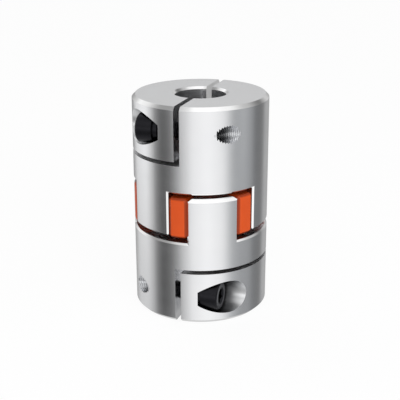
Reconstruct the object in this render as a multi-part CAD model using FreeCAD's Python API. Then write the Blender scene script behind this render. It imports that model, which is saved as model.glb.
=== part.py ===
import FreeCAD, Part
import math
import os

V = FreeCAD.Vector

# A backlash-free jaw coupling for two 15 mm shafts, in millimetres.
# The origin is the middle of the coupling on the shaft axis, +Z runs along
# the shafts, and the clamp slit of both hubs opens towards -Y.
# The two hubs are the same part: the lower one is the upper one turned half
# a turn about Y, so that its jaws fall between those of the upper hub.

# Hubs, turned from bar
hub_diameter = 40.0
hub_length = 25.0            # end face to jaw floor
hub_spacing = 14.6           # jaw floor to jaw floor, across the spider
bore_diameter = 15.0
end_chamfer = 1.0
bore_chamfer = 0.7
floor_chamfer = 0.5          # outer edge of the jaw floor

# Jaws, milled into the inner end of each hub
jaws_per_hub = 3
jaw_inner_radius = 11.8
jaw_tip_clearance = 1.25     # jaw tip to the floor of the other hub
jaw_tip_chamfer = 1.0
jaw_side_chamfer = 0.65      # on the outside, at 45 degrees to it
jaw_root = 1.2               # how far a jaw's block runs into the turned blank

# Elastomer spider
spider_end_clearance = 1.3   # face of the arms to the jaw floors
spider_bore = 18.0
ring_clearance = 0.4         # spider ring to the inner face of the jaws
ring_recess = 0.8            # ring faces below the faces of the arms
arm_width = 6.4              # across the crowned flanks, at their fullest
arm_crown_radius = 15.0
arm_tip_clearance = 0.1      # arm face inside the hub's outside diameter
arm_edge_chamfer = 0.8
arm_fit_clearance = 0.03     # arm flank to jaw flank, each side

# Clamp cuts
slit_width = 1.7             # lengthwise, right across the hub
cross_slit_width = 1.2       # across, under the clamp arm only
clamp_arm_length = 15.6      # end face to the cross slit
cross_slit_reach = 9.0       # how far behind the axis the cross slit ends

# Clamp screw, a cylinder head cap screw with hexagon socket
screw_diameter = 5.0
screw_length = 16.0          # under the head
screw_head_diameter = 8.5
screw_head_height = 5.0
screw_head_chamfer = 0.4
screw_tip_chamfer = 0.6
socket_across_flats = 4.0
socket_depth = 2.5
socket_chamfer = 0.25
screw_from_rim = 5.4         # screw axis inside the hub's outside diameter
upper_head_standoff = 2.3    # both screws are slack while no shaft is clamped
lower_head_standoff = 0.65
seat_from_slit = 5.75        # middle of the slit to the seat of the head
pocket_clearance = 0.75      # round the head
through_hole_clearance = 0.25
thread_clearance = 0.1       # tapped hole outside the screw's thread
drill_point_angle = 118.0

# Cuts run past the surface they open
overrun = 1.0

hub_radius = hub_diameter / 2
floor_z = hub_spacing / 2
spider_thickness = hub_spacing - 2 * spider_end_clearance
end_z = floor_z + hub_length
jaw_tip_z = -(floor_z - jaw_tip_clearance)
jaw_middle_radius = (jaw_inner_radius + hub_radius) / 2
jaw_pitch = 360.0 / jaws_per_hub
arm_count = 2 * jaws_per_hub
arm_pitch = 360.0 / arm_count
slit_direction = -90.0
first_jaw_angle = slit_direction - arm_pitch / 2
screw_offset = hub_radius - screw_from_rim
screw_z = end_z - clamp_arm_length / 2
cross_slit_top = end_z - clamp_arm_length
cross_slit_bottom = cross_slit_top - cross_slit_width


def at(radius, degrees, z=0.0):
    """The point at a radius and an angle round the shaft axis."""
    angle = math.radians(degrees)
    return V(radius * math.cos(angle), radius * math.sin(angle), z)


def flank_angle(radius, gap):
    """Degrees from an arm's middle line to its crowned flank, at a radius.

    The flank is an arc of arm_crown_radius, fullest halfway along the jaws.
    A gap moves it outwards.
    """
    sink = arm_crown_radius - arm_width / 2
    arc = arm_crown_radius + gap
    reach = math.hypot(jaw_middle_radius, sink)
    swing = (radius ** 2 + reach ** 2 - arc ** 2) / (2 * radius * reach)
    return math.degrees(math.acos(swing) - math.atan2(sink, jaw_middle_radius))


def prism(edges, bottom, top):
    """A closed outline drawn at z = 0, made solid between two heights."""
    face = Part.Face(Part.Wire(edges))
    face.translate(V(0, 0, bottom))
    return face.extrude(V(0, 0, top - bottom))


def sector(inner, outer, edge_angle, bottom, top):
    """A ring sector about +X whose sides follow edge_angle(radius)."""
    middle = (inner + outer) / 2
    inner_arc = Part.Arc(
        at(inner, -edge_angle(inner)), at(inner, 0), at(inner, edge_angle(inner)))
    left_arc = Part.Arc(
        at(inner, edge_angle(inner)), at(middle, edge_angle(middle)),
        at(outer, edge_angle(outer)))
    outer_arc = Part.Arc(
        at(outer, edge_angle(outer)), at(outer, 0), at(outer, -edge_angle(outer)))
    right_arc = Part.Arc(
        at(outer, -edge_angle(outer)), at(middle, -edge_angle(middle)),
        at(inner, -edge_angle(inner)))
    arcs = [inner_arc, left_arc, outer_arc, right_arc]
    return prism([arc.toShape() for arc in arcs], bottom, top)


def turned(shape, degrees):
    """A copy of the shape, turned round the shaft axis."""
    copy = shape.copy()
    copy.rotate(V(0, 0, 0), V(0, 0, 1), degrees)
    return copy


def edge_middle(edge):
    """The point halfway along an edge."""
    return edge.valueAt((edge.FirstParameter + edge.LastParameter) / 2)


def distance_from_axis(point):
    return math.hypot(point.x, point.y)


def rod(radius, start, length):
    """A cylinder along X at the clamp screw's height, from x = start."""
    return Part.makeCylinder(
        radius, length, V(start, -screw_offset, screw_z), V(1, 0, 0))


def hub_body():
    """The turned blank: bore, end faces and their chamfers, in one revolve."""
    bore = bore_diameter / 2
    profile = [
        V(bore, 0, floor_z + bore_chamfer),
        V(bore + bore_chamfer, 0, floor_z),
        V(hub_radius - floor_chamfer, 0, floor_z),
        V(hub_radius, 0, floor_z + floor_chamfer),
        V(hub_radius, 0, end_z - end_chamfer),
        V(hub_radius - end_chamfer, 0, end_z),
        V(bore + bore_chamfer, 0, end_z),
        V(bore, 0, end_z - bore_chamfer),
    ]
    outline = Part.makePolygon(profile + profile[:1])
    return Part.Face(outline).revolve(V(0, 0, 0), V(0, 0, 1), 360)


def side_chamfer(side, edge_angle):
    """What is cut off a jaw's outer upright edge, on one side of the jaw."""
    lean = 45.0
    along = hub_radius * math.cos(math.radians(lean))
    across = -side * hub_radius * math.sin(math.radians(lean))
    depth = jaw_side_chamfer * math.sin(math.radians(lean))
    height = floor_z - jaw_tip_z + jaw_root + 2 * overrun
    corner = Part.makeBox(
        2 * overrun, 2 * overrun, height,
        V(along - depth, across - overrun, jaw_tip_z - overrun))
    return turned(corner, side * (edge_angle + lean))


def jaw():
    """One jaw about +X, hollow-flanked to hold the crowned spider arms."""
    def edge_angle(radius):
        return arm_pitch / 2 - flank_angle(radius, arm_fit_clearance)

    root_z = floor_z + jaw_root
    block = sector(jaw_inner_radius, hub_radius, edge_angle, jaw_tip_z, root_z)
    tip_edges = []
    for edge in block.Edges:
        middle = edge_middle(edge)
        at_tip = abs(middle.z - jaw_tip_z) < jaw_tip_chamfer / 2
        if at_tip and distance_from_axis(middle) > jaw_inner_radius + jaw_tip_chamfer:
            tip_edges.append(edge)
    block = block.makeChamfer(jaw_tip_chamfer, tip_edges)
    return block.cut([side_chamfer(side, edge_angle(hub_radius)) for side in (1, -1)])


def clamp_cuts():
    """Slits, screw pocket, through hole and tapped hole of the upper hub."""
    across = hub_diameter + 2 * overrun
    slit = Part.makeBox(
        slit_width, across, end_z - cross_slit_bottom + overrun,
        V(-slit_width / 2, -across / 2, cross_slit_bottom))
    cross_slit = Part.makeBox(
        across / 2 + slit_width / 2, across / 2 + cross_slit_reach, cross_slit_width,
        V(-across / 2, -across / 2, cross_slit_bottom))
    outside = hub_radius + overrun
    pocket_radius = screw_head_diameter / 2 + pocket_clearance
    pocket = rod(pocket_radius, -outside, outside - seat_from_slit)
    through_hole = rod(
        screw_diameter / 2 + through_hole_clearance, -outside, outside)
    tapped_hole = rod(screw_diameter / 2 + thread_clearance, 0, outside)
    return [slit, cross_slit, pocket, through_hole, tapped_hole]


def hub():
    """The upper hub: turned body, three jaws, and the clamp cuts."""
    jaws = [turned(jaw(), first_jaw_angle + i * jaw_pitch) for i in range(jaws_per_hub)]
    solid = hub_body().fuse(jaws)
    return solid.cut(clamp_cuts()).removeSplitter()


def spider_arm():
    """One arm about +X, from the ring outwards, with its edges broken."""
    def edge_angle(radius):
        return flank_angle(radius, 0)

    start = (spider_bore / 2 + jaw_inner_radius - ring_clearance) / 2
    tip = hub_radius - arm_tip_clearance
    half = spider_thickness / 2
    block = sector(start, tip, edge_angle, -half, half)
    past_ring = [e for e in block.Edges
                 if distance_from_axis(edge_middle(e)) > jaw_inner_radius]
    return block.makeChamfer(arm_edge_chamfer, past_ring)


def spider():
    """Six arms moulded on one ring."""
    height = spider_thickness - 2 * ring_recess
    ring = Part.makeCylinder(
        jaw_inner_radius - ring_clearance, height, V(0, 0, -height / 2))
    arms = [turned(spider_arm(), (i + 0.5) * arm_pitch) for i in range(arm_count)]
    hole = Part.makeCylinder(
        spider_bore / 2, spider_thickness + 2 * overrun,
        V(0, 0, -spider_thickness / 2 - overrun))
    return ring.fuse(arms).cut(hole).removeSplitter()


def clamp_screw(head_standoff):
    """A screw in the upper hub, drawn along Z and laid into its hole along X."""
    shank = screw_diameter / 2
    head = screw_head_diameter / 2
    profile = [
        V(0, 0, screw_length),
        V(shank - screw_tip_chamfer, 0, screw_length),
        V(shank, 0, screw_length - screw_tip_chamfer),
        V(shank, 0, 0),
        V(head, 0, 0),
        V(head, 0, screw_head_chamfer - screw_head_height),
        V(head - screw_head_chamfer, 0, -screw_head_height),
        V(0, 0, -screw_head_height),
    ]
    outline = Part.makePolygon(profile + profile[:1])
    body = Part.Face(outline).revolve(V(0, 0, 0), V(0, 0, 1), 360)
    corner = socket_across_flats / math.sqrt(3)
    corners = [at(corner, 60 * i, -screw_head_height) for i in range(6)]
    socket = Part.Face(Part.makePolygon(corners + corners[:1]))
    socket = socket.extrude(V(0, 0, socket_depth))
    lead_in = Part.makeCone(
        corner + socket_chamfer, corner - socket_chamfer, 2 * socket_chamfer,
        V(0, 0, -screw_head_height))
    drill = socket_across_flats / 2
    drill_point = Part.makeCone(
        drill, 0, drill / math.tan(math.radians(drill_point_angle / 2)),
        V(0, 0, socket_depth - screw_head_height))
    body = body.cut([socket, lead_in, drill_point])
    body.rotate(V(0, 0, 0), V(0, 1, 0), 90)
    body.translate(V(-seat_from_slit - head_standoff, -screw_offset, screw_z))
    return body


def flipped(shape):
    """The same part on the other side: half a turn about the Y axis."""
    copy = shape.copy()
    copy.rotate(V(0, 0, 0), V(0, 1, 0), 180)
    return copy


upper_hub = hub()
nodes = {
    "upper_hub": upper_hub,
    "lower_hub": flipped(upper_hub),
    "elastomer_spider": spider(),
    "upper_clamp_screw": clamp_screw(upper_head_standoff),
    "lower_clamp_screw": flipped(clamp_screw(lower_head_standoff)),
}

os.makedirs("parts", exist_ok=True)
for name, shape in nodes.items():
    shape.exportStep("parts/" + name + ".step")
    print(name, "valid", shape.isValid(), "solids", len(shape.Solids), "mm3", round(shape.Volume, 1))
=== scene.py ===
import bmesh
import bpy
import math
import numpy as np
from mathutils import Matrix, Vector


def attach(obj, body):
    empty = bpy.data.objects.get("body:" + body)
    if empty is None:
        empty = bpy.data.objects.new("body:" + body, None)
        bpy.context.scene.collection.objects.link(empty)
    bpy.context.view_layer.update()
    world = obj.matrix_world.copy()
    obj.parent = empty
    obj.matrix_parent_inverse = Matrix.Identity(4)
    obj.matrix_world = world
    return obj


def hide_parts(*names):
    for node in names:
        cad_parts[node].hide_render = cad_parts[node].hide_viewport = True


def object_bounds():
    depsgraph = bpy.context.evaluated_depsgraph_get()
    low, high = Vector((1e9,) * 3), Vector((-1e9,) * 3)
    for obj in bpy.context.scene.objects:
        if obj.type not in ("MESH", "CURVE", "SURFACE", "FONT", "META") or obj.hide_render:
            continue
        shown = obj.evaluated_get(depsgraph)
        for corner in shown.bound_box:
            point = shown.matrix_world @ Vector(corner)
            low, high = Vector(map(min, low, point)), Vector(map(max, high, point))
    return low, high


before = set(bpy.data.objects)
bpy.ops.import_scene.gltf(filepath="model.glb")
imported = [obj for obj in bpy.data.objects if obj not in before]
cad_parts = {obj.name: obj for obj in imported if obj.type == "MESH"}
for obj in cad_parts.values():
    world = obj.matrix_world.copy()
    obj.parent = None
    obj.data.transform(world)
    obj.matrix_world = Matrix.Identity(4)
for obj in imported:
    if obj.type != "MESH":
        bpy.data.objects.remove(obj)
cad_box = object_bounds()
MM = 0.001

# The two hubs. Each is one piece of turned and milled aluminium with its three
# jaws, bore, clamp slit and screw pocket. The real one is turned from bar with
# a fine feed, its slots are sawn and every edge is lightly broken.
HUB_RADIUS = 20.0 * MM
BORE_RADIUS = 7.5 * MM
HUB_EDGE_BREAK = 0.12 * MM      # or as much as the shortest edges allow
SHARP_FROM = math.radians(25)   # a sharper turn between two faces is an edge
ON_SURFACE = 0.03 * MM          # how far off a surface the middle of one of its faces may lie
SCREW_AXIS = np.array([-14.6, 24.5]) * MM      # y and z of the upper hub's screw
POCKET_RADIUS = 5.0 * MM
TAPPED_RADIUS = 2.6 * MM
CROSS_SLIT = (15.5 * MM, 16.7 * MM)     # its two walls' heights
JAW_REACH = 8.0 * MM            # the jaws' chamfers lie no further from the middle
RIM_START = 31.2 * MM           # the end faces' chamfers lie further out
RIM_CHAMFER = 1.2 * MM          # the widest that a chamfer reaches in from the outside
BORE_CHAMFER = 0.8 * MM         # and out from the bore
REAR_SLIT_HALF = 1.0 * MM       # its walls lie no further from the middle plane
FEED = 0.25 * MM                # turning marks; the real 0.1 mm would not show


def edge_curves(mesh):
    """Both ends of every edge, as two arrays of points."""
    points = np.empty(len(mesh.vertices) * 3)
    mesh.vertices.foreach_get("co", points)
    ends = np.empty(len(mesh.edges) * 2, int)
    mesh.edges.foreach_get("vertices", ends)
    points = points.reshape(-1, 3)
    return points[ends[0::2]], points[ends[1::2]]


def merged_copy(cad_node, name):
    """A copy of a CAD node's mesh, with its doubles merged and its flat faces whole."""
    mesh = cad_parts[cad_node].data.copy()
    mesh.name = name
    if mesh.has_custom_normals:
        mesh.attributes.remove(mesh.attributes["custom_normal"])
    work = bmesh.new()
    work.from_mesh(mesh)
    bmesh.ops.remove_doubles(work, verts=work.verts, dist=1e-7)
    bmesh.ops.dissolve_limit(
        work, angle_limit=math.radians(0.5), verts=work.verts, edges=work.edges)
    work.to_mesh(mesh)
    work.free()
    mesh.shade_smooth()
    mesh.set_sharp_from_angle(angle=SHARP_FROM)
    piece = bpy.data.objects.new(name, mesh)
    bpy.context.scene.collection.objects.link(piece)
    return piece


def break_edges(piece, width, left_sharp=None, segments=2):
    """Rounds a piece's sharp edges, but not those that left_sharp picks out."""
    mesh = piece.data
    sharp = np.empty(len(mesh.edges), bool)
    mesh.attributes["sharp_edge"].data.foreach_get("value", sharp)
    weight = sharp.astype(np.float32)
    if left_sharp is not None:
        weight[left_sharp(*edge_curves(mesh))] = 0
    mesh.attributes.new("bevel_weight_edge", "FLOAT", "EDGE").data.foreach_set("value", weight)
    bevel = piece.modifiers.new("edge_break", "BEVEL")
    bevel.limit_method = "WEIGHT"
    bevel.width = width
    bevel.segments = segments
    bevel.use_clamp_overlap = True
    bevel.harden_normals = True
    bpy.context.view_layer.update()
    made = piece.evaluated_get(bpy.context.evaluated_depsgraph_get())
    piece.data = bpy.data.meshes.new_from_object(made)
    piece.data.name = piece.name
    piece.modifiers.clear()


def round_shading(mesh, cylinders):
    """Gives every corner that lies on a cylinder the cylinder's own normal.

    A cylinder is a point on its axis, the axis and a radius. The normal is the
    part of the corner's offset from the axis that is square to it. The corner
    keeps its own normal where that differs by more than a facet's turn.
    """
    same_radius = 0.002 * MM
    facet_turn = math.cos(math.radians(6))
    points = np.empty(len(mesh.vertices) * 3)
    mesh.vertices.foreach_get("co", points)
    corner_vertex = np.empty(len(mesh.loops), int)
    mesh.loops.foreach_get("vertex_index", corner_vertex)
    points = points.reshape(-1, 3)[corner_vertex]
    normals = np.empty(len(mesh.loops) * 3)
    mesh.corner_normals.foreach_get("vector", normals)
    normals = normals.reshape(-1, 3)
    for centre, axis, radius in cylinders:
        offset = points - centre
        offset -= np.outer(offset @ axis, axis)
        distance = np.linalg.norm(offset, axis=1)
        outward = offset / np.maximum(distance, 1e-9)[:, None]
        facing = np.sum(outward * normals, axis=1)
        on_it = (abs(distance - radius) < same_radius) & (abs(facing) > facet_turn)
        normals[on_it] = outward[on_it] * np.sign(facing[on_it])[:, None]
    mesh.normals_split_custom_set(normals)


def on_tapped_hole(start, end):
    """Edges round the mouth of either tapped hole, which its thread fills."""
    def near(points):
        side = np.sign(points[:, 2])
        across = points[:, 1] - SCREW_AXIS[0]
        up = points[:, 2] * side - SCREW_AXIS[1]
        on_wall = abs(np.hypot(across, up) - TAPPED_RADIUS) < 0.01 * MM
        return on_wall & (points[:, 0] * side > 0)
    return near(start) & near(end)


def colour(hex_value):
    """An sRGB hex colour as linear light, with alpha 1."""
    parts = [int(hex_value[i:i + 2], 16) / 255 for i in (1, 3, 5)]
    linear = [p / 12.92 if p <= 0.04045 else ((p + 0.055) / 1.055) ** 2.4 for p in parts]
    return linear + [1.0]


def add_node(tree, kind, inputs=None, **settings):
    """Adds a node with its settings. An input is a value, or the socket it is linked to."""
    made = tree.nodes.new("ShaderNode" + kind)
    for name, value in settings.items():
        setattr(made, name, value)
    for name, value in (inputs or {}).items():
        if isinstance(value, bpy.types.NodeSocket):
            tree.links.new(value, made.inputs[name])
        else:
            made.inputs[name].default_value = value
    return made


def new_finish(name):
    """A new node material, with its tree and its principled shader."""
    material = bpy.data.materials.new(name)
    material.use_nodes = True
    tree = material.node_tree
    return material, tree, tree.nodes["Principled BSDF"]


def from_shaft_axis(tree, split):
    """How far a place, split into x, y and z, lies from the shaft axis."""
    round_part = add_node(tree, "CombineXYZ", {0: split[0], 1: split[1]}).outputs[0]
    return add_node(tree, "VectorMath", {0: round_part}, operation="LENGTH").outputs["Value"]


# Turned aluminium, left natural: a bright satin metal. The tool leaves rings
# round the axis, on the sides by height and on the faces by radius.
turned_aluminium, tree, shader = new_finish("turned_aluminium")
place = add_node(tree, "TexCoord").outputs["Object"]
split = add_node(tree, "SeparateXYZ", {0: place}).outputs
radius = from_shaft_axis(tree, split)
ring = add_node(tree, "CombineXYZ", {0: radius, 1: split[2]}).outputs[0]
feed_marks = add_node(tree, "TexNoise", {
    "Vector": ring, "Scale": 1 / FEED, "Detail": 2.0, "Roughness": 0.6}).outputs["Fac"]
tool_wear = add_node(tree, "TexNoise", {
    "Vector": ring, "Scale": 1 / (4 * MM), "Detail": 2.0}).outputs["Fac"]
handling = add_node(tree, "TexNoise", {
    "Vector": place, "Scale": 1 / (9 * MM), "Detail": 3.0}).outputs["Fac"]
wear = add_node(tree, "Math", {0: tool_wear, 1: handling}, operation="MULTIPLY").outputs[0]
roughness = add_node(tree, "MapRange", {
    "Value": wear, "From Min": 0.1, "From Max": 0.45,
    "To Min": 0.20, "To Max": 0.27}).outputs[0]
tint = add_node(tree, "Mix", {
    "Factor": handling, "A": colour("#f5f5f6"), "B": colour("#f0f1f3")},
    data_type="RGBA")
bump = add_node(tree, "Bump", {
    "Height": feed_marks, "Strength": 0.04, "Distance": 0.02 * MM}).outputs[0]
tree.links.new(tint.outputs["Result"], shader.inputs["Base Color"])
tree.links.new(roughness, shader.inputs["Roughness"])
tree.links.new(bump, shader.inputs["Normal"])
shader.inputs["Metallic"].default_value = 1.0

# The chamfers are cut last, with a sharper tool, and are brighter.
bright_chamfer, tree, shader = new_finish("bright_cut_chamfer")
place = add_node(tree, "TexCoord").outputs["Object"]
chatter = add_node(tree, "TexNoise", {
    "Vector": place, "Scale": 1 / (0.5 * MM), "Detail": 2.0}).outputs["Fac"]
roughness = add_node(tree, "MapRange", {
    "Value": chatter, "To Min": 0.09, "To Max": 0.16}).outputs[0]
tree.links.new(roughness, shader.inputs["Roughness"])
shader.inputs["Base Color"].default_value = (1, 1, 1, 1)
shader.inputs["Metallic"].default_value = 1.0

# The pockets are milled, with a duller surface. Their colour is painted darker
# towards the seat, as painted shade in the pocket's deep end.
milled_pocket, tree, shader = new_finish("milled_pocket")
place = add_node(tree, "TexCoord").outputs["Object"]
stretched = add_node(tree, "Mapping", {
    "Vector": place, "Scale": (1 / (0.3 * MM), 1 / (2 * MM), 1 / (2 * MM))}).outputs[0]
cutter_marks = add_node(tree, "TexNoise", {
    "Vector": stretched, "Scale": 1.0, "Detail": 2.0}).outputs["Fac"]
roughness = add_node(tree, "MapRange", {
    "Value": cutter_marks, "To Min": 0.27, "To Max": 0.36}).outputs[0]
bump = add_node(tree, "Bump", {
    "Height": cutter_marks, "Strength": 0.05, "Distance": 0.02 * MM}).outputs[0]
# Painted shade: the wall is darker the nearer it lies to the seat, deep in the pocket.
depth = add_node(tree, "Math", {
    0: add_node(tree, "SeparateXYZ", {0: place}).outputs[0]}, operation="ABSOLUTE").outputs[0]
unshaded = add_node(tree, "MapRange", {
    "Value": depth, "From Min": 11.0 * MM, "From Max": 16.5 * MM}).outputs[0]
tint = add_node(tree, "Mix", {
    "Factor": unshaded, "A": colour("#808183"), "B": colour("#f3f4f5")}, data_type="RGBA")
tree.links.new(tint.outputs["Result"], shader.inputs["Base Color"])
tree.links.new(roughness, shader.inputs["Roughness"])
tree.links.new(bump, shader.inputs["Normal"])
shader.inputs["Metallic"].default_value = 1.0

# The cross slits are sawn, which leaves the walls rough enough to look dull.
sawn_slit, tree, shader = new_finish("sawn_slit")
place = add_node(tree, "TexCoord").outputs["Object"]
saw_marks = add_node(tree, "TexNoise", {
    "Vector": place, "Scale": 1 / (0.4 * MM), "Detail": 3.0}).outputs["Fac"]
roughness = add_node(tree, "MapRange", {
    "Value": saw_marks, "To Min": 0.27, "To Max": 0.37}).outputs[0]
tree.links.new(roughness, shader.inputs["Roughness"])
shader.inputs["Base Color"].default_value = colour("#f1f1f2")
shader.inputs["Metallic"].default_value = 1.0


def is_pocket(polygon, side):
    """Whether a face lies on the round wall of the screw pocket."""
    place = polygon.center
    from_line = math.hypot(place.y - SCREW_AXIS[0], place.z - side * SCREW_AXIS[1])
    return abs(from_line - POCKET_RADIUS) < ON_SURFACE and place.x * side < 0


def is_cross_slit(polygon):
    """Whether a face is the upper or lower wall of a cross slit."""
    height = abs(polygon.center.z)
    return min(abs(height - wall) for wall in CROSS_SLIT) < ON_SURFACE


def is_chamfer(polygon):
    """Whether a face is a 45 degree chamfer on the hub's outside or round its bore.

    The slope is the part of the face's normal that points away from the axis,
    and lies near 0.7 on an outside chamfer and near -0.7 round the bore.
    """
    place, normal = polygon.center, polygon.normal
    from_axis = math.hypot(place.x, place.y)
    slope = (place.x * normal.x + place.y * normal.y) / from_axis
    at_jaws = abs(place.z) < JAW_REACH
    at_end = abs(place.z) > RIM_START
    outside = (at_jaws or at_end) and from_axis > HUB_RADIUS - RIM_CHAMFER and 0.5 < slope < 0.9
    bore = at_end and from_axis < BORE_RADIUS + BORE_CHAMFER and -0.9 < slope < -0.5
    return outside or bore


def is_rear_slit(polygon):
    """Whether a face is a wall of the slit behind the bore, which is milled bright."""
    place = polygon.center
    faces_sideways = abs(polygon.normal.x) > 0.99
    return faces_sideways and abs(place.x) < REAR_SLIT_HALF and place.y > BORE_RADIUS


HUB_FINISHES = (turned_aluminium, bright_chamfer, milled_pocket, sawn_slit)
TURNED, CHAMFERED, MILLED, SAWN = range(len(HUB_FINISHES))

for cad_node in ("upper_hub", "lower_hub"):
    side = 1 if cad_node == "upper_hub" else -1
    hub = merged_copy(cad_node, "turned_" + cad_node)
    hub.data.materials.clear()
    for finish in HUB_FINISHES:
        hub.data.materials.append(finish)
    for polygon in hub.data.polygons:
        if is_chamfer(polygon) or is_rear_slit(polygon):
            polygon.material_index = CHAMFERED
        elif is_pocket(polygon, side):
            polygon.material_index = MILLED
        elif is_cross_slit(polygon):
            polygon.material_index = SAWN
        else:
            polygon.material_index = TURNED
    break_edges(hub, HUB_EDGE_BREAK, on_tapped_hole)
    screw_line = np.array([0, SCREW_AXIS[0], side * SCREW_AXIS[1]])
    round_shading(hub.data, [
        (np.zeros(3), np.array([0, 0, 1.0]), HUB_RADIUS),
        (np.zeros(3), np.array([0, 0, 1.0]), BORE_RADIUS),
        (screw_line, np.array([1.0, 0, 0]), POCKET_RADIUS)])
    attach(hub, "root")
    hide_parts(cad_node)

# The threads of the two tapped holes, cut in the hubs' aluminium. Only their
# crests are added here: the CAD hole is a little wider than the screw's thread,
# so each crest is a ridge in it, cut off flush with the hub and with the slit.
THREAD_PITCH = 0.6 * MM
THREAD_DEPTH = 0.32 * MM
THREAD_GROOVE = 9.95 * MM       # at its mouth's near edge the hole has a whole groove
THREAD_START = 0.85 * MM        # the wall of the slit
THREAD_END = 16.8 * MM          # past the hub's outside
THREAD_STEPS = 8                # rows to a pitch
THREAD_SIDES = 144
CREST_FLAT = 0.25               # parts of a pitch
GROOVE_FLAT = 0.125
THREAD_SKIN = 0.03              # part of the depth that the sleeve keeps in a groove
OFF_FLUSH = 0.02 * MM           # how far off the hub's outside a flush face's middle may lie


def thread_profile(along, angle):
    """How far a thread's groove is filled, from THREAD_SKIN to 1, at a place and an angle.

    The phase is the place over the pitch less the turn, from a groove at
    THREAD_GROOVE, and the crest's middle is half a pitch on. Straight flanks
    join the flat of the crest to that of the groove.
    """
    phase = ((along - THREAD_GROOVE) / THREAD_PITCH - angle / (2 * np.pi)) % 1.0
    from_crest = abs(phase - 0.5)
    crest_end = CREST_FLAT / 2
    groove_start = 0.5 - GROOVE_FLAT / 2
    return np.clip((groove_start - from_crest) / (groove_start - crest_end), THREAD_SKIN, 1)


def grid_faces(rows, columns):
    """Quads of a grid whose rows are closed rings, numbered row by row."""
    row, column = np.meshgrid(np.arange(rows - 1), np.arange(columns), indexing="ij")
    following = (column + 1) % columns
    corners = [row * columns + column, row * columns + following,
               (row + 1) * columns + following, (row + 1) * columns + column]
    return np.stack(corners, -1).reshape(-1, 4)


def new_piece(name, points, faces, finish):
    """A mesh object at the origin, with its faces pointing outwards."""
    mesh = bpy.data.meshes.new(name)
    mesh.from_pydata(points, [], faces)
    work = bmesh.new()
    work.from_mesh(mesh)
    bmesh.ops.remove_doubles(work, verts=work.verts, dist=1e-8)
    bmesh.ops.recalc_face_normals(work, faces=work.faces)
    work.to_mesh(mesh)
    work.free()
    mesh.materials.append(finish)
    piece = bpy.data.objects.new(name, mesh)
    bpy.context.scene.collection.objects.link(piece)
    return piece


def tapped_thread():
    """The upper hub's thread crests, as a closed sleeve that runs past the hub.

    Each ring goes round the hole's axis at one x, from the slit outwards. The
    inner radius is the hole's radius less the depth times the profile. The
    sleeve closes along the hole's wall.
    """
    angle = np.linspace(0, 2 * np.pi, THREAD_SIDES, endpoint=False)[None, :]
    rows = int(THREAD_STEPS * (THREAD_END - THREAD_START) / THREAD_PITCH)
    along = np.linspace(THREAD_START, THREAD_END, rows)[:, None] + 0 * angle
    crest = TAPPED_RADIUS - THREAD_DEPTH * thread_profile(along, angle)
    wall_x = np.vstack([along[-1], along[0]])
    x = np.vstack([along, wall_x, along[:1]])
    r = np.vstack([crest, np.full_like(wall_x, TAPPED_RADIUS), crest[:1]])
    around = np.broadcast_to(angle, x.shape)
    y = SCREW_AXIS[0] + r * np.cos(around)
    z = SCREW_AXIS[1] + r * np.sin(around)
    return np.stack([x, y, z], -1).reshape(-1, 3), grid_faces(len(x), THREAD_SIDES)


def cut_flush(piece):
    """Keeps only what lies inside the hub's outside cylinder."""
    mesh = bpy.data.meshes.new("hub_outside")
    work = bmesh.new()
    past_both_ends = 80 * MM
    bmesh.ops.create_cone(
        work, cap_ends=True, segments=720,
        radius1=HUB_RADIUS, radius2=HUB_RADIUS, depth=past_both_ends)
    work.to_mesh(mesh)
    work.free()
    outside = bpy.data.objects.new("hub_outside", mesh)
    bpy.context.scene.collection.objects.link(outside)
    cut = piece.modifiers.new("cut_flush", "BOOLEAN")
    cut.operation = "INTERSECT"
    cut.solver = "EXACT"
    cut.object = outside
    bpy.context.view_layer.update()
    made = piece.evaluated_get(bpy.context.evaluated_depsgraph_get())
    piece.data = bpy.data.meshes.new_from_object(made)
    piece.data.name = piece.name
    piece.modifiers.clear()
    bpy.data.objects.remove(outside)


def flush_with_hub(polygon):
    """Whether a face lies in the hub's outside surface."""
    place, normal = polygon.center, polygon.normal
    from_axis = math.hypot(place.x, place.y)
    outward = (place.x * normal.x + place.y * normal.y) / from_axis
    return abs(from_axis - HUB_RADIUS) < OFF_FLUSH and outward > 0.98


def half_turned(points):
    """The same points after half a turn about the Y axis."""
    return points * np.array([-1, 1, -1])


# The cut thread is the same metal, torn rather than turned. Its colour is
# painted darker from the mouth inwards, as painted shade deep in the hole.
cut_thread, tree, shader = new_finish("cut_thread_aluminium")
place = add_node(tree, "TexCoord").outputs["Object"]
tearing = add_node(tree, "TexNoise", {
    "Vector": place, "Scale": 1 / (0.3 * MM), "Detail": 3.0}).outputs["Fac"]
# Painted shade: the thread is darker the deeper it lies in the hole.
from_middle = add_node(tree, "Math", {
    0: add_node(tree, "SeparateXYZ", {0: place}).outputs[0]}, operation="ABSOLUTE").outputs[0]
unshaded = add_node(tree, "MapRange", {
    "Value": from_middle, "From Min": 10.8 * MM, "From Max": 14.0 * MM},
    interpolation_type="SMOOTHSTEP").outputs[0]
tint = add_node(tree, "Mix", {
    "Factor": unshaded, "A": colour("#8c8d8f"), "B": colour("#f2f3f5")}, data_type="RGBA")
bump = add_node(tree, "Bump", {
    "Height": tearing, "Strength": 0.1, "Distance": 0.02 * MM}).outputs[0]
tree.links.new(tint.outputs["Result"], shader.inputs["Base Color"])
tree.links.new(bump, shader.inputs["Normal"])
shader.inputs["Metallic"].default_value = 1.0
shader.inputs["Roughness"].default_value = 0.3

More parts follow.
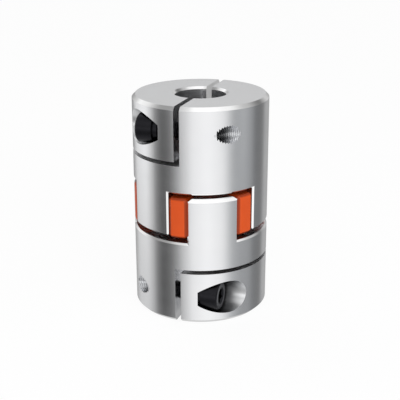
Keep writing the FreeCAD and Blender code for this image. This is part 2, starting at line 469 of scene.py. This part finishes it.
thread_points, thread_faces = tapped_thread()
for name, points in (("upper_tapped_thread", thread_points),
                     ("lower_tapped_thread", half_turned(thread_points))):
    thread = new_piece(name, points, thread_faces, cut_thread)
    cut_flush(thread)
    thread.data.materials.clear()
    thread.data.materials.append(cut_thread)
    thread.data.materials.append(turned_aluminium)
    for polygon in thread.data.polygons:
        polygon.material_index = 1 if flush_with_hub(polygon) else 0
    thread.data.shade_smooth()
    thread.data.set_sharp_from_angle(angle=SHARP_FROM)
    round_shading(thread.data, [(np.zeros(3), np.array([0, 0, 1.0]), HUB_RADIUS)])
    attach(thread, "root")

# The spider: one moulding of orange thermoplastic polyurethane, six crowned
# arms on a ring, pressed in between the jaws. The mould rounds its edges and
# leaves a satin skin. Its chamfers by the jaws and at its ends get painted shade.
SPIDER_EDGE_ROUND = 0.12 * MM
SKIN_GRAIN = 0.35 * MM
HALF_ARM_PITCH = math.pi / 6    # six arms; one's middle line is at 30 degrees

moulded_polyurethane, tree, shader = new_finish("moulded_orange_polyurethane")
place = add_node(tree, "TexCoord").outputs["Object"]
grain = add_node(tree, "TexNoise", {
    "Vector": place, "Scale": 1 / SKIN_GRAIN, "Detail": 3.0}).outputs["Fac"]
flow = add_node(tree, "TexNoise", {
    "Vector": place, "Scale": 1 / (6 * MM), "Detail": 2.0, "Distortion": 0.6}).outputs["Fac"]
tint = add_node(tree, "Mix", {
    "Factor": flow, "A": colour("#de530b"), "B": colour("#d34b09")}, data_type="RGBA")
split = add_node(tree, "SeparateXYZ", {0: place}).outputs
radius = from_shaft_axis(tree, split)
turn = add_node(tree, "Math", {0: split[1], 1: split[0]}, operation="ARCTAN2").outputs[0]
shifted = add_node(tree, "Math", {0: turn, 1: HALF_ARM_PITCH}).outputs[0]
from_arm = add_node(tree, "Math", {
    0: shifted, 1: -HALF_ARM_PITCH, 2: HALF_ARM_PITCH}, operation="WRAP").outputs[0]
sine = add_node(tree, "Math", {0: from_arm}, operation="SINE").outputs[0]
across = add_node(tree, "Math", {0: sine, 1: radius}, operation="MULTIPLY").outputs[0]
# Painted shade: the arms' flanks next to the jaws and their ends under the hub faces are mixed
# towards a dark orange.
to_flank = add_node(tree, "MapRange", {
    "Value": add_node(tree, "Math", {0: across}, operation="ABSOLUTE").outputs[0],
    "From Min": 1.8 * MM, "From Max": 2.3 * MM}, interpolation_type="SMOOTHSTEP").outputs[0]
to_end = add_node(tree, "MapRange", {
    "Value": add_node(tree, "Math", {0: split[2]}, operation="ABSOLUTE").outputs[0],
    "From Min": 5.2 * MM, "From Max": 5.7 * MM}, interpolation_type="SMOOTHSTEP").outputs[0]
painted_shade = add_node(tree, "Math", {0: to_flank, 1: to_end}, operation="MAXIMUM").outputs[0]
tint = add_node(tree, "Mix", {
    "Factor": painted_shade, "A": tint.outputs["Result"], "B": colour("#983408")}, data_type="RGBA")
roughness = add_node(tree, "MapRange", {
    "Value": flow, "To Min": 0.38, "To Max": 0.5}).outputs[0]
bump = add_node(tree, "Bump", {
    "Height": grain, "Strength": 0.12, "Distance": 0.02 * MM}).outputs[0]
tree.links.new(tint.outputs["Result"], shader.inputs["Base Color"])
tree.links.new(roughness, shader.inputs["Roughness"])
tree.links.new(bump, shader.inputs["Normal"])
shader.inputs["IOR"].default_value = 1.42

spider = merged_copy("elastomer_spider", "moulded_spider")
break_edges(spider, SPIDER_EDGE_ROUND, segments=3)
spider.data.materials.clear()
spider.data.materials.append(moulded_polyurethane)
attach(spider, "root")
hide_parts("elastomer_spider")

# The clamp screws: cap screws with a hexagon socket and a short collar under
# the head, of hardened steel with a black oxide skin. The thread is rolled. Each
# goes through one clamp arm into the tapped hole of the other side.
HEAD_RADIUS = 4.25 * MM
HEAD_HEIGHT = 5.0 * MM
HEAD_CHAMFER = 0.4 * MM
SOCKET_FLAT = 2.0 * MM          # half across flats
SOCKET_DEPTH = 2.5 * MM
SOCKET_LEAD_IN = 0.25 * MM
SOCKET_DRILL = 0.98             # of the half flat, for the drilled hole under the hexagon
DRILL_HALF_ANGLE = math.radians(59)
SHANK_RADIUS = 2.5 * MM
SHANK_LENGTH = 16.0 * MM
SHANK_TIP = 0.6 * MM
COLLAR_RADIUS = 3.5 * MM        # between the head and the shank
PLAIN_SHANK = 1.9 * MM          # under the head, before the thread
UPPER_SEAT = -8.05 * MM         # under the head, on the row's X axis
LOWER_SEAT = -6.40 * MM         # the same before its half turn
UPPER_COLLAR = 1.4 * MM
LOWER_COLLAR = 0.6 * MM         # as much as stands clear of the pocket's floor
SCREW_SIDES = 96
SCREW_EDGE_ROUND = 0.08 * MM


def cap_screw(seat, collar):
    """A cap screw whose head ends at x = seat, as one closed surface of rings.

    A ring is a place along the axis and a radius, both of which may change
    with the angle. The socket's radius is its half flat over the cosine of
    the angle from the nearest flat's middle, which draws a hexagon. The lead-in
    is a cone cut by that hexagon. The thread's radius is the shank's less the
    depth times the profile, and never outside the cone of the tip.
    """
    angle = np.linspace(0, 2 * np.pi, SCREW_SIDES, endpoint=False)[None, :]
    ones = np.ones_like(angle)
    hexagon = SOCKET_FLAT / np.cos((angle + np.pi / 6) % (np.pi / 3) - np.pi / 6)
    mouth = SOCKET_FLAT / math.cos(math.pi / 6) + SOCKET_LEAD_IN
    face = -HEAD_HEIGHT
    bottom = face + SOCKET_DEPTH
    point = bottom + SOCKET_FLAT / math.tan(DRILL_HALF_ANGLE)
    head = [
        (point * ones, 0 * ones),
        (bottom * ones, SOCKET_FLAT * SOCKET_DRILL * ones),
        (bottom * ones, hexagon),
        (face + mouth - hexagon, hexagon),
        (face * ones, mouth * ones),
        (face * ones, (HEAD_RADIUS - HEAD_CHAMFER) * ones),
        ((face + HEAD_CHAMFER) * ones, HEAD_RADIUS * ones),
        (0 * ones, HEAD_RADIUS * ones),
        (0 * ones, COLLAR_RADIUS * ones),
        (collar * ones, COLLAR_RADIUS * ones),
        (collar * ones, SHANK_RADIUS * ones),
    ]
    steps = int(THREAD_STEPS * (SHANK_LENGTH - PLAIN_SHANK) / THREAD_PITCH)
    along = np.linspace(PLAIN_SHANK, SHANK_LENGTH, steps)[:, None] + 0 * angle
    run_out = np.minimum(1.0, (along - PLAIN_SHANK) / (2 * THREAD_PITCH))
    depth = THREAD_DEPTH * run_out * thread_profile(seat + along, angle)
    cone = SHANK_RADIUS - np.maximum(0.0, along - (SHANK_LENGTH - SHANK_TIP))
    shank = [(along, np.minimum(SHANK_RADIUS - depth, cone)), (SHANK_LENGTH * ones, 0 * ones)]
    x = seat + np.vstack([part[0] for part in head + shank])
    r = np.vstack([part[1] for part in head + shank])
    y = SCREW_AXIS[0] + r * np.cos(angle)
    z = SCREW_AXIS[1] + r * np.sin(angle)
    return np.stack([x, y, z], -1).reshape(-1, 3), grid_faces(len(x), SCREW_SIDES)


def in_thread(start, end):
    """Edges of the shank below the head, which the bevel leaves alone."""
    side = np.sign(start[:, 2])
    seat = np.where(side > 0, UPPER_SEAT, LOWER_SEAT)
    return np.minimum(start[:, 0] * side, end[:, 0] * side) > seat + ON_SURFACE


def oxide_finish(name, darkest, palest):
    """Black oxide on steel, with a soft oily sheen, between two greys."""
    finish, tree, shader = new_finish(name)
    place = add_node(tree, "TexCoord").outputs["Object"]
    skin = add_node(tree, "TexNoise", {
        "Vector": place, "Scale": 1 / (0.6 * MM), "Detail": 4.0}).outputs["Fac"]
    tint = add_node(tree, "Mix", {
        "Factor": skin, "A": colour(darkest), "B": colour(palest)}, data_type="RGBA")
    roughness = add_node(tree, "MapRange", {
        "Value": skin, "To Min": 0.30, "To Max": 0.42}).outputs[0]
    bump = add_node(tree, "Bump", {
        "Height": skin, "Strength": 0.1, "Distance": 0.02 * MM}).outputs[0]
    tree.links.new(tint.outputs["Result"], shader.inputs["Base Color"])
    tree.links.new(roughness, shader.inputs["Roughness"])
    tree.links.new(bump, shader.inputs["Normal"])
    shader.inputs["Metallic"].default_value = 1.0
    return finish


black_oxide = oxide_finish("black_oxide_steel", "#2a2a2d", "#343438")
# Painted highlight: the socket face gets a paler copy of the black oxide, so that it looks
# brighter than the head's side.
face_highlight_oxide = oxide_finish("face_highlight_black_oxide", "#58585c", "#646468")

upper_points, screw_faces = cap_screw(UPPER_SEAT, UPPER_COLLAR)
lower_points, _ = cap_screw(LOWER_SEAT, LOWER_COLLAR)
for cad_node, points in (("upper_clamp_screw", upper_points),
                         ("lower_clamp_screw", half_turned(lower_points))):
    screw = new_piece("black_" + cad_node, points, screw_faces, black_oxide)
    screw.data.materials.append(face_highlight_oxide)       # the face, paler as a painted highlight
    outermost = max(abs(points[:, 0]))
    for polygon in screw.data.polygons:
        if abs(polygon.center.x) > outermost - ON_SURFACE:
            polygon.material_index = 1
    screw.data.shade_smooth()
    screw.data.set_sharp_from_angle(angle=SHARP_FROM)
    break_edges(screw, SCREW_EDGE_ROUND, in_thread)
    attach(screw, "root")
    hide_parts(cad_node)

# The photograph's camera, which looks down on the front of the coupling.
PHOTO_TURN = math.radians(19.1)         # from the row's -Y to the camera, about Z
CAMERA_PLACE = Vector((2.4213, -253.6541, 88.6829)) * MM
CAMERA_PITCH = 0.3396
CAMERA_YAW = -0.0105
CAMERA_ROLL = -0.0030
CAMERA_LENS = 79.93                     # for a film 36 mm wide

camera = bpy.data.objects.new("photo_camera", bpy.data.cameras.new("photo_camera"))
bpy.context.scene.collection.objects.link(camera)
bpy.context.scene.camera = camera
camera.data.sensor_width = 36.0
camera.data.lens = CAMERA_LENS
ahead = Vector((math.sin(CAMERA_YAW) * math.cos(CAMERA_PITCH),
                math.cos(CAMERA_YAW) * math.cos(CAMERA_PITCH), -math.sin(CAMERA_PITCH)))
right = Vector((math.cos(CAMERA_YAW), -math.sin(CAMERA_YAW), 0))
looking = Matrix((right, right.cross(ahead), -ahead)).transposed().to_4x4()
camera.matrix_world = (Matrix.Rotation(PHOTO_TURN, 4, "Z") @ Matrix.Translation(CAMERA_PLACE)
                       @ looking @ Matrix.Rotation(CAMERA_ROLL, 4, "Z"))

# The studio: a pale floor in a light tent. A broad white wall stands behind
# the camera, with a dark flag on each side and paler cards beyond them, and a
# softbox hangs overhead. The metal mirrors these as upright bands.
WALL_BANDS = (      # degrees from the camera, to the right; grey low down, and higher
    (-180, 0.40, 0.40), (-155, 0.42, 0.30), (-132, 0.63, 0.82), (-104, 0.65, 1.00),
    (-92, 0.47, 0.73), (-80, 0.16, 0.24), (-68, 0.085, 0.11), (-54, 0.13, 0.125),
    (-42, 0.27, 0.27), (-28, 0.62, 0.61), (-12, 0.91, 0.93), (12, 1.02, 1.00),
    (34, 0.93, 0.91), (60, 0.43, 0.38), (76, 0.31, 0.47), (90, 0.32, 0.36),
    (106, 0.20, 0.17), (124, 0.19, 0.18), (140, 0.45, 0.43), (180, 0.40, 0.40))
CEILING_BANDS = (
    (-180, 0.85), (-142, 1.05), (-126, 0.86), (-100, 0.31), (-84, 0.32), (-56, 0.69),
    (-24, 1.03), (48, 1.04), (84, 0.91), (110, 0.50), (132, 0.18), (144, 0.20),
    (180, 0.85))
COOL_BANDS = (50, 120)          # the card and flag on the right are a little bluer
COOLNESS = 0.02
CARD_LEVEL = 0.90               # a small card left of the camera, level with the coupling
CARD_TURN = math.radians(-38)
CARD_RISE = 0.06
CARD_EDGES = (math.cos(math.radians(16)), math.cos(math.radians(6)))
REAR_LEVEL = 0.20               # a glow behind the coupling
REAR_WIDTH = (0.72, 0.88)       # from its edge to its full level, in sines
FLOOR_LEVEL = 0.62
# Where one part of the tent gives way to the next, in sines of the elevation
HIGHER_FROM = (-0.42, -0.26)
CEILING_FROM = (0.30, 0.50)
REAR_FROM = (-0.10, 0.30)
FLOOR_FROM = (-0.60, -0.75)


def blend(tree, value, ends, top=1.0, kind="SMOOTHSTEP"):
    """A value that goes from 0 to top as another goes from the first end to the second."""
    return add_node(tree, "MapRange", {
        "Value": value, "From Min": ends[0], "From Max": ends[1], "To Max": top},
        interpolation_type=kind).outputs[0]


world = bpy.data.worlds.new("light_tent")
bpy.context.scene.world = world
world.use_nodes = True
tree = world.node_tree
tree.nodes.clear()
direction = add_node(tree, "TexCoord").outputs["Generated"]
seen = add_node(tree, "Mapping", {
    "Vector": direction, "Rotation": (0, 0, -PHOTO_TURN)}).outputs[0]
split = add_node(tree, "SeparateXYZ", {0: seen}).outputs
toward = add_node(tree, "Math", {0: split[1], 1: -1.0}, operation="MULTIPLY").outputs[0]
turn = add_node(tree, "Math", {0: split[0], 1: toward}, operation="ARCTAN2").outputs[0]
band_place = add_node(tree, "MapRange", {
    "Value": turn, "From Min": -math.pi, "From Max": math.pi}).outputs[0]
greys = []
for bands, level in ((WALL_BANDS, 1), (WALL_BANDS, 2), (CEILING_BANDS, 1)):
    ramp = add_node(tree, "ValToRGB", {0: band_place})
    ramp.color_ramp.interpolation = "EASE"
    stops = ramp.color_ramp.elements
    stops[0].position, stops[1].position = 0, 1
    for band in bands[1:-1]:
        stops.new((band[0] + 180) / 360)
    for stop, band in zip(stops, bands):
        is_cool = bands is WALL_BANDS and COOL_BANDS[0] < band[0] < COOL_BANDS[1]
        cool = COOLNESS if is_cool else 0
        stop.color = (band[level] * (1 - cool), band[level], band[level] * (1 + cool), 1)
    greys.append(ramp.outputs[0])
height = blend(tree, split[2], HIGHER_FROM, kind="LINEAR")
wall = add_node(tree, "Mix", {
    "Factor": height, "A": greys[0], "B": greys[1]}, data_type="RGBA").outputs["Result"]
overhead = blend(tree, split[2], CEILING_FROM)
tent = add_node(tree, "Mix", {
    "Factor": overhead, "A": wall, "B": greys[2]}, data_type="RGBA").outputs["Result"]
behind = blend(tree, split[1], REAR_WIDTH)
above = blend(tree, split[2], REAR_FROM)
rear = add_node(tree, "Math", {0: behind, 1: above}, operation="MULTIPLY").outputs[0]
rear = add_node(tree, "Math", {0: rear, 1: REAR_LEVEL}, operation="MULTIPLY").outputs[0]
tent = add_node(tree, "VectorMath", {0: tent, 1: rear}, operation="ADD").outputs[0]
below = blend(tree, split[2], FLOOR_FROM)
tent = add_node(tree, "Mix", {
    "Factor": below, "A": tent, "B": (FLOOR_LEVEL, FLOOR_LEVEL, FLOOR_LEVEL, 1)},
    data_type="RGBA").outputs["Result"]
card_direction = Matrix.Rotation(CARD_TURN, 3, "Z") @ Vector((0, -1, CARD_RISE)).normalized()
nearness = add_node(tree, "VectorMath", {
    0: seen, 1: card_direction}, operation="DOT_PRODUCT").outputs["Value"]
card = blend(tree, nearness, CARD_EDGES, top=CARD_LEVEL)
tent = add_node(tree, "VectorMath", {0: tent, 1: card}, operation="ADD").outputs[0]
to_camera = add_node(tree, "LightPath").outputs["Is Camera Ray"]
shown = add_node(tree, "Mix", {
    "Factor": to_camera, "A": tent, "B": (1, 1, 1, 1)}, data_type="RGBA").outputs["Result"]
background = add_node(tree, "Background", {"Color": shown})
tree.links.new(background.outputs[0], add_node(tree, "OutputWorld").inputs[0])

# A soft lamp over the camera's right shoulder, which the metal doesn't mirror.
FILL_POWER = 1.2
FILL_SIZE = 0.5
FILL_DISTANCE = 0.6
FILL_FROM = Vector((0.28, -0.85, 0.45))
fill = bpy.data.objects.new("soft_lamp", bpy.data.lights.new("soft_lamp", "AREA"))
bpy.context.scene.collection.objects.link(fill)
fill.data.shape = "DISK"
fill.data.size = FILL_SIZE
fill.data.energy = FILL_POWER
fill_direction = Matrix.Rotation(PHOTO_TURN, 3, "Z") @ FILL_FROM.normalized()
fill.location = fill_direction * FILL_DISTANCE
fill.rotation_mode = "QUATERNION"
fill.rotation_quaternion = fill_direction.to_track_quat("Z", "Y")
fill.visible_glossy = False

# The floor is white to the camera and keeps a faint shadow of the coupling.
FLOOR_HALF = 2.0
FLOOR_SHADOW = 0.12             # how much of the floor's own shading the camera sees
FLOOR_GLOW = 1.02
FLOOR_GAP = 0.01 * MM
floor_mesh = bpy.data.meshes.new("floor")
floor_z = cad_box[0].z - FLOOR_GAP
corners = [(-FLOOR_HALF, -FLOOR_HALF, floor_z), (FLOOR_HALF, -FLOOR_HALF, floor_z),
           (FLOOR_HALF, FLOOR_HALF, floor_z), (-FLOOR_HALF, FLOOR_HALF, floor_z)]
floor_mesh.from_pydata(corners, [], [(0, 1, 2, 3)])
floor = bpy.data.objects.new("floor", floor_mesh)
bpy.context.scene.collection.objects.link(floor)
floor.visible_glossy = False
pale_floor, tree, shader = new_finish("pale_floor")
shader.inputs["Base Color"].default_value = colour("#f4f4f4")
shader.inputs["Roughness"].default_value = 0.9
light_path = add_node(tree, "LightPath").outputs["Is Camera Ray"]
share = add_node(tree, "Math", {
    0: light_path, 1: 1 - FLOOR_SHADOW}, operation="MULTIPLY").outputs[0]
glow = add_node(tree, "Emission", {"Color": (1, 1, 1, 1), "Strength": FLOOR_GLOW}).outputs[0]
from_above = add_node(tree, "MixShader", {0: share, 1: shader.outputs[0], 2: glow}).outputs[0]
clear = add_node(tree, "BsdfTransparent").outputs[0]
from_below = add_node(tree, "NewGeometry").outputs["Backfacing"]
surface = add_node(tree, "MixShader", {0: from_below, 1: from_above, 2: clear}).outputs[0]
tree.links.new(surface, tree.nodes["Material Output"].inputs[0])
floor_mesh.materials.append(pale_floor)

bpy.context.scene.view_settings.view_transform = "Standard"
